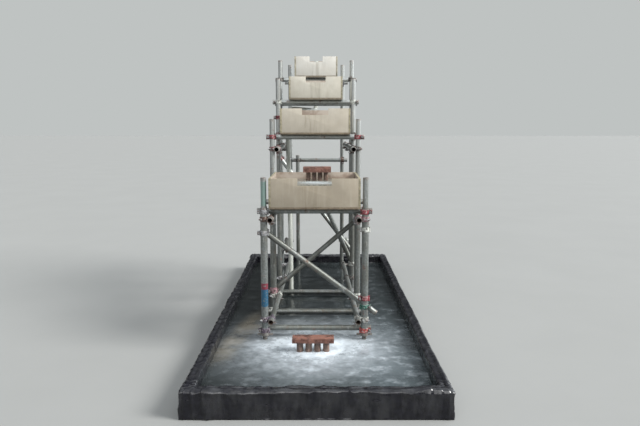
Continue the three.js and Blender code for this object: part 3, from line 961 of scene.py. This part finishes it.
def couplers(carrier, held_tubes):
    """Couplers on one post or tube: a clamp on it and on each tube that it meets, and a block between."""
    plain = (1.0, 1.0, 1.0)
    line = POSTS.get(carrier) or TUBES[carrier]
    axis = line[1] - line[0]
    clamps = []
    for held in held_tubes:
        tube = TUBES[held]
        met = nearest_points(line, tube)
        if not met or (met[1] - met[0]).length > COUPLER_REACH:
            continue
        on_carrier, on_tube = met
        span = on_tube - on_carrier
        radius = post_radius(carrier, on_carrier.z)
        # A colour is drawn even where the table has one, so that the other couplers keep theirs
        shade = PAINTS[COUPLER_PAINTS.get(carrier, {}).get(held, rng.choice(OTHER_PAINTS))]
        turn = clamp_turn(axis, span, bolt_side(axis, on_carrier))
        clamps.append((on_carrier, turn, int(radius == SLEEVE_RADIUS), shade, plain))
        tube_axis = tube[1] - tube[0]
        tube_turn = clamp_turn(tube_axis, -span, bolt_side(tube_axis, on_tube))
        clamps.append((on_tube, tube_turn, 0, shade, plain))
        gap = span.length - radius - TUBE_RADIUS
        middle = on_carrier + span.normalized() * (radius + gap / 2)
        clamps.append((middle, turn, 2, shade, (1.0, gap + BLOCK_OVERLAP, 1.0)))
    for height, name in SPARE_CLAMPS.get(carrier, []):
        sleeved = int(post_radius(carrier, height) == SLEEVE_RADIUS)
        turn = clamp_turn(Z_AXIS, Y_AXIS, -X_AXIS)
        clamps.append(((line[0].x, line[0].y, height), turn, sleeved, PAINTS[name], plain))
    if not clamps:
        return
    name = f"couplers_{carrier}"
    places, turns, kinds, shades, stretches = zip(*clamps)
    cloud = point_cloud(name, places, turn=turns, stretch=stretches, kind=kinds, paint=shades)
    mesh = grown(name, cloud, COUPLER_TREE, {"Body": COUPLER_STEEL, "Bolts": BOLT_STEEL})
    add_piece(name, mesh, [], "galvanised")


def jack(post):
    """A base jack under a post: foot plate, spindle with its thread, and collar with two handles."""
    x, y, foot = POSTS[post][0]
    plate_top = JACK_SEAT + JACK_PLATE_THICKNESS
    half = JACK_PLATE / 2
    root, insertion, seam, lip = 0.0004, 0.02, 0.0003, 0.003
    overlap, tip, margin = 0.004, 0.002, 0.004
    place = Matrix.Translation((x, y, 0))
    bm = bmesh.new()
    plate = Vector((x - half, y - half, JACK_SEAT)), Vector((x + half, y + half, plate_top))
    bevelled_box(bm, *plate, JACK_PLATE_BEVEL)

    core, spindle_top = JACK_SPINDLE_RADIUS - root, foot + insertion
    spindle = [(0, plate_top), (core, plate_top), (core, spindle_top), (0, spindle_top)]
    turned(bm, spindle, JACK_SIDES, place, 1)

    base, top = foot - JACK_COLLAR_HEIGHT, foot - seam
    outer = JACK_COLLAR_RADIUS
    collar = [
        (0, base), (outer - lip, base), (outer, base + lip), (outer, top - lip), (outer - lip, top), (0, top),
    ]
    turned(bm, collar, JACK_SIDES, place, wear=0.4)
    for sign in SIDES.values():
        near, far = sorted((x + sign * (outer - overlap), x + sign * (half - tip)))
        low = Vector((near, y - JACK_HANDLE_HALF, base + margin))
        high = Vector((far, y + JACK_HANDLE_HALF, top - margin))
        bevelled_box(bm, low, high, JACK_HANDLE_BEVEL)

    turns = (base - plate_top) / THREAD_PITCH
    if turns > 2:
        values = {"Turns": turns, "Height": base - plate_top, "Material": THREAD_STEEL}
        thread = grown("thread", bpy.data.meshes.new("empty"), THREAD_TREE, values)
        thread.transform(Matrix.Translation((x, y, plate_top)))
        thread.polygons.foreach_set("material_index", [1] * len(thread.polygons))
        bm.from_mesh(thread)
    add_solid(post.replace("post", "jack"), bm, [STEEL, THREAD_STEEL], "galvanised")


# Basins

def board(bm, outline, plane, low, high, inner):
    """A board whose outline lies across axis plane, from low to high along it.

    inner is the side of it that water wets, -1 or 1."""
    depth_layer = layer(bm.verts, "float", "ply_depth")
    cut_layer, inner_layer = layer(bm.faces, "float", "ply_cut"), layer(bm.faces, "float", "ply_inner")
    others = [axis for axis in range(3) if axis != plane]

    def corner(point, level):
        place = [0.0, 0.0, 0.0]
        place[others[0]], place[others[1]], place[plane] = *point, level
        return bm.verts.new(place)

    caps = [[corner(point, level) for point in outline] for level in (low, high)]
    faces = [bm.faces.new(cap) for cap in caps] + skin(bm, *caps)
    bmesh.ops.recalc_face_normals(bm, faces=faces)
    edges = list(dict.fromkeys(edge for face in faces for edge in face.edges))
    made = bmesh.ops.bevel(bm, geom=edges, offset=BOARD_BEVEL, segments=2, profile=0.6, affect="EDGES")
    for face in {face for vertex in made["verts"] for face in vertex.link_faces} | set(made["faces"]):
        face.normal_update()
        along = face.normal[plane]
        face[cut_layer] = 0.0 if abs(along) > 0.75 else 1.0
        face[inner_layer] = 1.0 if along * inner > 0.75 else 0.0
        for vertex in face.verts:
            vertex[depth_layer] = (vertex.co[plane] - low) / (high - low)


def floor_with_hole(bm, low, high):
    """The top basin's floor, with the round hole that the riser comes through."""
    sides = 48
    depth_layer = layer(bm.verts, "float", "ply_depth")
    cut_layer, inner_layer = layer(bm.faces, "float", "ply_cut"), layer(bm.faces, "float", "ply_inner")
    middle, half = (low + high) / 2, (high - low) / 2
    rings = []
    for level, depth in ((low.z, 0.0), (high.z, 1.0)):
        hole, rim = [], []
        for x, y in circle(sides, start=0.5):
            reach = min(half.x / max(abs(x), 1e-6), half.y / max(abs(y), 1e-6))
            for distance, ring in ((RISER_HOLE_RADIUS, hole), (reach, rim)):
                point = bm.verts.new((middle.x + x * distance, middle.y + y * distance, level))
                point[depth_layer] = depth
                ring.append(point)
        for face in skin(bm, hole, rim):
            face[inner_layer] = depth
        rings.append((hole, rim))
    for under, over in zip(*rings):
        for face in skin(bm, under, over):
            face[cut_layer] = 1.0


def between(low, high, margin, spacing):
    """Even places from low to high, kept off both ends by a margin."""
    count = max(2, round((high - low - 2 * margin) / spacing) + 1)
    return [low + margin + (high - low - 2 * margin) * k / (count - 1) for k in range(count)]


def basin_screws(number, walls):
    """Screws through the side panels into the floor, the front and the back, and through the back."""
    low, high = walls
    base = low.z + SCREW_HEIGHT
    spots = [(y, base) for y in between(low.y, high.y, margin=0.05, spacing=0.11)]
    levels = between(low.z, high.z, margin=0.04, spacing=0.08)
    spots += [(y, z) for y in (low.y + PLY / 2, high.y - PLY / 2) for z in levels]
    screws = []
    for x, sign in ((low.x, -1), (high.x, 1)):
        screws += [((x, y, z), (0.0, sign * math.pi / 2, 0.0)) for y, z in spots]
    for x in between(low.x, high.x, margin=0.05, spacing=0.12):
        screws.append(((x, high.y, base), (-math.pi / 2, 0.0, 0.0)))
    places, turns = zip(*screws)
    name = f"basin_{number}_screws"
    cloud = point_cloud(name, places, turn=turns)
    add_piece(name, grown(name, cloud, SCREW_TREE, {"Material": BOLT_STEEL}), [], "galvanised")


def rectangle(x0, x1, y0, y1):
    return [(x0, y0), (x1, y0), (x1, y1), (x0, y1)]


def basin(number, look):
    label = f"basin_{number}"
    floor, front, walls = (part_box(f"{label}_{part}") for part in ("floor", "front", "walls"))
    ply = ply_material(label, look, walls)

    def boards(name, part, make, *shapes):
        """A piece of one or more boards in place of a part of the basin."""
        bm = bmesh.new()
        for shape in shapes:
            make(bm, *shape)
        add_solid(f"{label}_{name}", bm, [ply], "plywood", f"{label}_{part}")

    low, high = floor
    if number == len(BASIN_LOOKS):
        boards("floor_board", "floor", floor_with_hole, floor)
    else:
        base = rectangle(low.x, high.x, low.y, high.y)
        boards("floor_board", "floor", board, (base, 2, low.z, high.z, 1))

    low, high = front
    middle, half, sill = (low.x + high.x) / 2, look["overflow"] / 2, high.z - OVERFLOW_DEPTH
    outline = [
        (low.x, low.z), (high.x, low.z), (high.x, high.z), (middle + half, high.z), (middle + half, sill),
        (middle - half, sill), (middle - half, high.z), (low.x, high.z),
    ]
    boards("front_board", "front", board, (outline, 1, low.y, high.y, 1))

    low, high = walls
    gap = 0.0004
    side = rectangle(low.y, high.y, low.z, high.z)
    back = rectangle(low.x + PLY + gap, high.x - PLY - gap, low.z, high.z)
    boards(
        "wall_boards", "walls", board, (side, 0, low.x, low.x + PLY, 1),
        (side, 0, high.x - PLY, high.x, -1), (back, 1, high.y - PLY, high.y - gap, -1),
    )

    basin_screws(number, walls)
    fit = 0.0006
    low = Vector((low.x + PLY + fit, front[1].y + fit, floor[1].z + fit))
    high = Vector((high.x - PLY - fit, high.y - PLY - fit, high.z - OVERFLOW_DEPTH))
    centre = ((low.x + high.x) / 2, low.y + BASIN_CENTRE * (high.y - low.y))
    water_body(f"{label}_water", low, high, BASIN_STEP, centre, BASIN_ROUGH, BASIN_WATER)


# Water

def ripple(x, y, centre, rough):
    """Height of the water's surface at a point, choppier near the centre, and how near it is."""
    away = math.hypot(x - centre[0], y - centre[1])
    near = math.exp(-(away / rough["spread"]) ** 2)
    waves = noise.noise(Vector((x * 9, y * 9, 1.7))) + 0.5 * noise.noise(Vector((x * 23, y * 23, 5.1)))
    rings = math.sin(away * rough["pitch"]) * math.exp(-away / (rough["spread"] * 1.4))
    return (rough["calm"] + rough["chop"] * near) * (0.8 * waves + 0.35 * rings), near


def water_body(name, low, high, step, centre, rough, material):
    """Still water with a rippled surface at high.z, closed down to low.z."""
    columns, lines = (max(4, round((high[axis] - low[axis]) / step)) for axis in (0, 1))
    points, foam = [], []
    for y in np.linspace(low.y, high.y, lines + 1):
        for x in np.linspace(low.x, high.x, columns + 1):
            height, near = ripple(x, y, centre, rough)
            points.append((x, y, high.z + height))
            foam.append(near)

    def at(i, j):
        return j * (columns + 1) + i

    faces = [
        (at(i, j), at(i + 1, j), at(i + 1, j + 1), at(i, j + 1)) for j in range(lines) for i in range(columns)
    ]
    rim = [at(i, 0) for i in range(columns)] + [at(columns, j) for j in range(lines)]
    rim += [at(i, lines) for i in range(columns, 0, -1)] + [at(0, j) for j in range(lines, 0, -1)]
    base, count = len(points), len(rim)
    points += [(points[k][0], points[k][1], low.z) for k in rim]
    foam += [0.0] * count
    for k in range(count):
        after = (k + 1) % count
        faces.append((rim[after], rim[k], base + k, base + after))
    faces.append(tuple(base + k for k in reversed(range(count))))
    bm = surface(points, faces)
    foam_layer = layer(bm.verts, "float", "foam")
    for vertex, near in zip(bm.verts, foam):
        vertex[foam_layer] = near
    add_solid(name, bm, [material], "liner", sharp=60)


def pool_water():
    front, back, left, right = (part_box(f"kerb_{side}") for side in KERBS)
    fit = 0.0045
    low = Vector((left[1].x + fit, front[1].y + fit, JACK_SEAT))
    high = Vector((right[0].x - fit, back[0].y - fit, POOL_WATER_Z))
    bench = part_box("splash_bench_pool")
    centre = ((bench[0].x + bench[1].x) / 2, bench[1].y + POOL_CENTRE)
    water_body("pool_water", low, high, POOL_STEP, centre, POOL_ROUGH, POOL_WATER)


# Benches

def bench(name, node, stub_radius, thickness):
    """A splash bench: a board on four round stubs."""
    low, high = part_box(node)
    under = Vector((low.x, low.y, high.z - thickness))
    bm = bmesh.new()
    bevelled_box(bm, under, high, BENCH_BEVEL)
    lip, foot, seam = 0.002, 0.0012, 0.0002
    pitch = (high.x - low.x - 2 * stub_radius) / BENCH_STUBS
    middle, base, top = (low + high) / 2, low.z + foot, under.z - seam
    profile = [
        (0, base), (stub_radius - lip, base), (stub_radius, base + lip), (stub_radius, top), (0, top),
    ]
    for index in range(BENCH_STUBS):
        x = middle.x + (index - (BENCH_STUBS - 1) / 2) * pitch
        turned(bm, profile, STUB_SIDES, Matrix.Translation((x, middle.y, 0)), 1)
    add_solid(name, bm, [BENCH_BOARD, STUB_TIMBER], "splash_board", node)


# Riser pipe

def smooth_route(points, steps):
    """Points on a centripetal Catmull-Rom curve through the given ones."""
    spots = [Vector(p) for p in points]
    spots = [2 * spots[0] - spots[1], *spots, 2 * spots[-1] - spots[-2]]
    route = []
    for k in range(1, len(spots) - 2):
        p = spots[k - 1:k + 3]
        t = [0.0]
        for a, b in zip(p, p[1:]):
            t.append(t[-1] + (b - a).length ** 0.5)
        for step in range(steps):
            u = t[1] + (t[2] - t[1]) * step / steps
            line = [p[n].lerp(p[n + 1], (u - t[n]) / (t[n + 1] - t[n])) for n in range(3)]
            bend = [line[n].lerp(line[n + 1], (u - t[n]) / (t[n + 2] - t[n])) for n in range(2)]
            route.append(bend[0].lerp(bend[1], step / steps))
    return route + [spots[-2]]


def riser():
    route = [point + X_AXIS * TOWER_X for point in smooth_route(RISER_ROUTE, RISER_STEPS)]
    bm = bmesh.new()
    outer, inner = [], []
    across = X_AXIS
    for k, point in enumerate(route):
        ahead = (route[min(k + 1, len(route) - 1)] - route[max(k - 1, 0)]).normalized()
        across = (across - ahead * across.dot(ahead)).normalized()
        over = ahead.cross(across)
        for radius, rings in ((RISER_RADIUS, outer), (RISER_RADIUS - RISER_WALL, inner)):
            ring = [point + x * across + y * over for x, y in circle(RISER_SIDES, radius)]
            rings.append([bm.verts.new(place) for place in ring])
    for rings in (outer, inner):
        for first, second in zip(rings, rings[1:]):
            skin(bm, first, second)
    for end in (0, -1):
        skin(bm, inner[end], outer[end])
    add_solid("riser_tube", bm, [PIPE], "pipe", "riser_pipe")


# Pool liner over its kerbs

def kerb_cores():
    inset = Vector((CORE_INSET, CORE_INSET, 0))
    for side in KERBS:
        low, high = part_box(f"kerb_{side}")
        bm = bmesh.new()
        bevelled_box(bm, low + inset, high - inset - Z_AXIS * CORE_DROP, CORE_BEVEL)
        add_solid(f"kerb_core_{side}", bm, [KERB_TIMBER], "liner", f"kerb_{side}")


def kerb_section(width, height, floor_z):
    """The liner's line over a kerb: (distance out from the kerb's inner face, height)."""
    inner, outer = -LINER_INSET, width - LINER_INSET
    top, foot = height - 0.004, floor_z + 0.012
    roll, shoulder, dip = 0.020, 0.027, 0.005
    flat = outer - inner - roll - shoulder
    line = [(inner - 0.030, floor_z), (inner - 0.012, floor_z), (inner - 0.003, floor_z + 0.004)]
    line += [(inner, foot + (top - roll - foot) * k / 11) for k in range(12)]
    line += [
        (inner + roll * (1 - math.cos(a)), top - roll + roll * math.sin(a))
        for a in (math.pi / 2 * k / 5 for k in range(1, 6))
    ]
    line += [
        (inner + roll + flat * k / 5, top - dip * math.sin(math.pi * k / 5) ** 2) for k in range(1, 5)
    ]
    line += [
        (outer - shoulder * (1 - math.sin(a)), top - shoulder + shoulder * math.cos(a))
        for a in (math.pi / 2 * k / 6 for k in range(7))
    ]
    line += [(outer, top - shoulder - (top - shoulder - 0.006) * k / 10) for k in range(1, 11)]
    return line + [(outer + 0.004, 0.0025)]


def crest(place, width, sharpness):
    """1 along wandering lines through the noise at place, and 0 past width on either side."""
    return max(0.0, 1 - abs(noise.noise(Vector(place))) / width) ** sharpness


def fold_height(along, across, over, corner):
    """How far the liner stands off its kerb.

    across runs from 0 at its foot inside to 1 at its foot outside, over from 0 to 1 across its
    top, and corner is the distance to the nearest corner."""
    drift = noise.noise(Vector((along * 1.3, across * 1.5, 2.0)))
    lean = along * 2.6 + across * 3.2 * math.sin(along * 1.1) + 0.9 * drift
    crease = crest((lean * 2.0, across * 0.8, 7.0), 0.30, 2)
    cross = crest((along * 3.4 - across * 4.0, across * 1.1 + drift, 41.0), 0.16, 1.5)
    sag = crest((along * 0.6, across * 7.0 + drift, 17.0), 0.30, 2.5)
    crumple = noise.noise(Vector((along * 26, across * 15, 11.0)))
    fan = 0.0
    for first, reach in PLEATS:
        share = (corner - first * (0.35 + 0.65 * across)) / reach
        if 0 <= share < 1:
            fan += (1 - share) ** 2

    # The slack on top rolls over itself in long folds
    turn = 1.1 * over + 0.16 * noise.noise(Vector((along * 1.7, 0.0, 23.0)))
    strength = 0.65 + 0.9 * noise.noise(Vector((along * 2.3, 0.0, 29.0)))
    roll = (4 * abs(turn % 1 - 0.5) - 1) * math.cos(math.pi * turn) ** 2
    roll -= 0.5 * math.sin(2 * math.pi * turn)
    roll *= strength * math.sin(math.pi * over) ** 0.5
    folds = 0.0070 * crease + 0.0045 * cross + 0.0060 * sag + 0.0070 * roll + 0.0060 * fan
    return folds + 0.0010 * crumple + 0.0025 * drift


def liner_stations(low, high):
    """Places round the kerbs' inner edge: point, way out at its slant, face, run and nearest corner."""
    corners = [Vector(corner) for corner in rectangle(low.x, high.x, low.y, high.y)]
    slants = [Vector(slant) for slant in rectangle(-1, 1, -1, 1)]
    facing = [Vector((0, -1)), Vector((1, 0)), Vector((0, 1)), Vector((-1, 0))]
    near = round(CORNER_REACH / CORNER_STEP)
    stations = []
    run = 0.0
    for k in range(4):
        start, end = corners[k], corners[(k + 1) % 4]
        length = (end - start).length
        straight = length - 2 * CORNER_REACH
        count = 2 * round(straight / LINER_STEP / 2)
        if k == 3:
            # The bed halves the number of points four times
            count += -(len(stations) + count + 2 * near) % 16
        marks = [CORNER_REACH * n / near for n in range(near)]
        marks += [CORNER_REACH + straight * n / count for n in range(count)]
        marks += [length - CORNER_REACH + CORNER_REACH * n / near for n in range(near)]
        for mark in marks:
            share = mark / length
            slant = slants[k].lerp(slants[(k + 1) % 4], share)
            aside = min(share, 1 - share) * length
            stations.append((start.lerp(end, share), slant, facing[k], run + mark, aside))
        run += length
    return stations


def liner_points(stations, line, width, top):
    """The liner's line at each station, lifted by its folds."""
    points = []
    last = len(line) - 1
    for place, slant, facing, along, aside in stations:
        slack = 1.0 if facing.y else 0.5 + 0.5 * math.exp(-aside / 0.22)
        for k, (out, z) in enumerate(line):
            over = min(max((out + LINER_INSET) / width, 0.0), 1.0) if z > top - 0.03 else 0.0
            before, after = line[max(k - 1, 0)], line[min(k + 1, last)]
            run_out, rise = after[0] - before[0], after[1] - before[1]
            size = math.hypot(run_out, rise) or 1.0
            lift = slack * fold_height(along, k / last, over, aside) if 2 < k < last else 0.0
            flat = place + slant * out - facing * (rise / size * lift)
            points.append((flat.x, flat.y, max(z + run_out / size * lift, 0.0022)))
    return points


def liner_bed(points, faces, ring, low, high, floor_z):
    """Closes the liner over the pool's floor, inside a ring of its points."""
    middle, full = (low + high) / 2, (high - low) / 2
    for inset in (0.05, 0.11, 0.2, 0.34):
        base = len(points)
        share = Vector(((full.x - inset) / full.x, (full.y - inset) / full.y))
        for x, y, _ in [points[k] for k in ring[::2]]:
            points.append((middle.x + (x - middle.x) * share.x, middle.y + (y - middle.y) * share.y, floor_z))
        fewer = list(range(base, len(points)))
        for k, d in enumerate(fewer):
            a, b, c = ring[2 * k], ring[2 * k + 1], ring[(2 * k + 2) % len(ring)]
            e = fewer[(k + 1) % len(fewer)]
            faces += [(b, a, d), (b, d, e), (c, b, e)]
        ring = fewer
    faces.append(tuple(ring))


def liner():
    outer_low, outer_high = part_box("kerb_front")[0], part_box("kerb_back")[1]
    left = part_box("kerb_left")
    width, top = left[1].x - left[0].x, outer_high.z
    floor_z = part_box("pool_floor")[1].z + LINER_THICKNESS
    low = Vector((outer_low.x + width, outer_low.y + width))
    high = Vector((outer_high.x - width, outer_high.y - width))
    line = kerb_section(width, top, floor_z)
    stations = liner_stations(low, high)
    points = liner_points(stations, line, width, top)
    count, around = len(line), len(stations)
    faces = []
    for s in range(around):
        t = (s + 1) % around
        for k in range(count - 1):
            faces.append((s * count + k, t * count + k, t * count + k + 1, s * count + k + 1))
    liner_bed(points, faces, [s * count for s in range(around)], low, high, floor_z)
    mesh = finish_mesh(surface(points, faces), "pool_liner", 70)
    if mesh.polygons[-1].normal.z < 0:
        mesh.flip_normals()
    piece = add_piece("pool_liner", mesh, [LINER], "liner")
    solid = piece.modifiers.new("thickness", "SOLIDIFY")
    solid.thickness = LINER_THICKNESS
    solid.offset = -1


# Studio

def camera():
    data = bpy.data.cameras.new("camera")
    data.sensor_width = CAMERA_SENSOR
    data.lens = CAMERA_LENS
    data.clip_end = 200
    eye = in_scene("camera", data)
    eye.location = CAMERA_PLACE
    eye.rotation_euler = (math.pi / 2 - CAMERA_PITCH, 0, 0)
    bpy.context.scene.camera = eye


def soft_light(name, toward, spread, power, tint):
    """A large soft light, so far off that it lights the whole floor evenly."""
    data = bpy.data.lights.new(name, "SUN")
    data.angle = math.radians(spread)
    data.energy = power
    data.color = tint
    lamp = in_scene(name, data)
    lamp.location = Vector(toward).normalized() * 10
    lamp.rotation_euler = Vector(toward).to_track_quat("Z", "Y").to_euler()


def studio():
    """A pale floor, two soft lights and an even sky with a brighter open side."""
    mesh = bpy.data.meshes.new("floor")
    corners = rectangle(-FLOOR_HALF, FLOOR_HALF, -FLOOR_HALF, FLOOR_HALF)
    mesh.from_pydata([(*corner, 0) for corner in corners], [], [(0, 1, 2, 3)])
    mesh.materials.append(floor_material())
    in_scene("studio_floor", mesh)
    soft_light("key", (0.78, -0.22, 0.58), spread=24, power=5.2, tint=(1.0, 0.99, 0.96))
    soft_light("front", (-0.22, -0.80, 0.55), spread=50, power=1.4, tint=(1.0, 1.0, 1.0))

    world = bpy.data.worlds.new("studio")
    world.use_nodes = True
    sky = Tree(world.node_tree)
    heading = sky.split(sky.add("ShaderNodeTexCoord").outputs["Generated"])
    overhead = sky.ramp(heading[2], 0.06, 0.94, 0.04, 1.55)
    sideways = sky.ramp(heading[0], -0.8, 0.6, 0.55, 1.1)
    behind = sky.ramp(heading[1], 0.30, 0.95, 1.0, 0.42)
    ranges = ((0, 0.25, 0.80), (1, -0.25, 0.35), (2, 0.80, 0.15))
    glow = sky.times(*(sky.ramp(heading[axis], dark, bright) for axis, dark, bright in ranges))
    soft = sky.tree.nodes["Background"]
    soft.inputs["Color"].default_value = (0.92, 0.97, 1.0, 1.0)
    even = sky.times(overhead, sideways, behind)
    sky.feed(soft.inputs["Strength"], sky.plus(even, sky.times(glow, OPEN_SIDE)))
    backdrop = sky.out("ShaderNodeBackground", {"Color": BACKDROP, "Strength": 1.0})
    seen = sky.add("ShaderNodeLightPath").outputs["Is Camera Ray"]
    both = sky.out("ShaderNodeMixShader", {0: seen, 1: soft.outputs[0], 2: backdrop})
    sky.feed(sky.tree.nodes["World Output"].inputs["Surface"], both)
    bpy.context.scene.world = world
    bpy.context.scene.view_settings.view_transform = "Standard"


camera()
studio()

STEEL = galvanised_material()
COUPLER_STEEL = coupler_material()
BOLT_STEEL = bolt_material()
THREAD_STEEL = thread_material()
BENCH_BOARD = bench_material()
STUB_TIMBER = stub_material()
PIPE = pipe_material()
LINER = liner_material()
KERB_TIMBER = kerb_core_material()
POOL_WATER = water_material("pool_water_surface", "171a19", "4a5357", foam_amount=0.95, silt=0.58)
BASIN_WATER = water_material("basin_water_surface", "777970", "84867c", foam_amount=0.5, silt=0.0)
COUPLER_TREE = coupler_tree()
THREAD_TREE = thread_tree()
SCREW_TREE = screw_tree()

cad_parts["pool_floor"].data.materials.clear()
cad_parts["pool_floor"].data.materials.append(LINER)

POSTS = posts()
PLAIN_TUBES = [
    name for name in sorted(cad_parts)
    if name.startswith(("bearer", "transom", "ledger", "tie", "brace")) and name not in FITTED_TUBES
]
TUBES = {name: tube_ends(name, FITTED_TUBES.get(name)) for name in [*PLAIN_TUBES, *FITTED_TUBES]}
for node in TUBES:
    open_tube(node)

rng = random.Random(SEED)
for post in POSTS:
    upright(post)
    jack(post)
    couplers(post, PLAIN_TUBES)
couplers("transom_middle", ["brace_row_c", "ledger_tier_1_left", "ledger_tier_1_right"])
couplers("post_short_rear", ["transom_rear"])

for number, look in enumerate(BASIN_LOOKS, 1):
    basin(number, look)
bench("pool_bench", "splash_bench_pool", stub_radius=0.027, thickness=0.035)
bench("basin_bench", "splash_bench_basin", stub_radius=0.020, thickness=0.048)
riser()
kerb_cores()
liner()
pool_water()
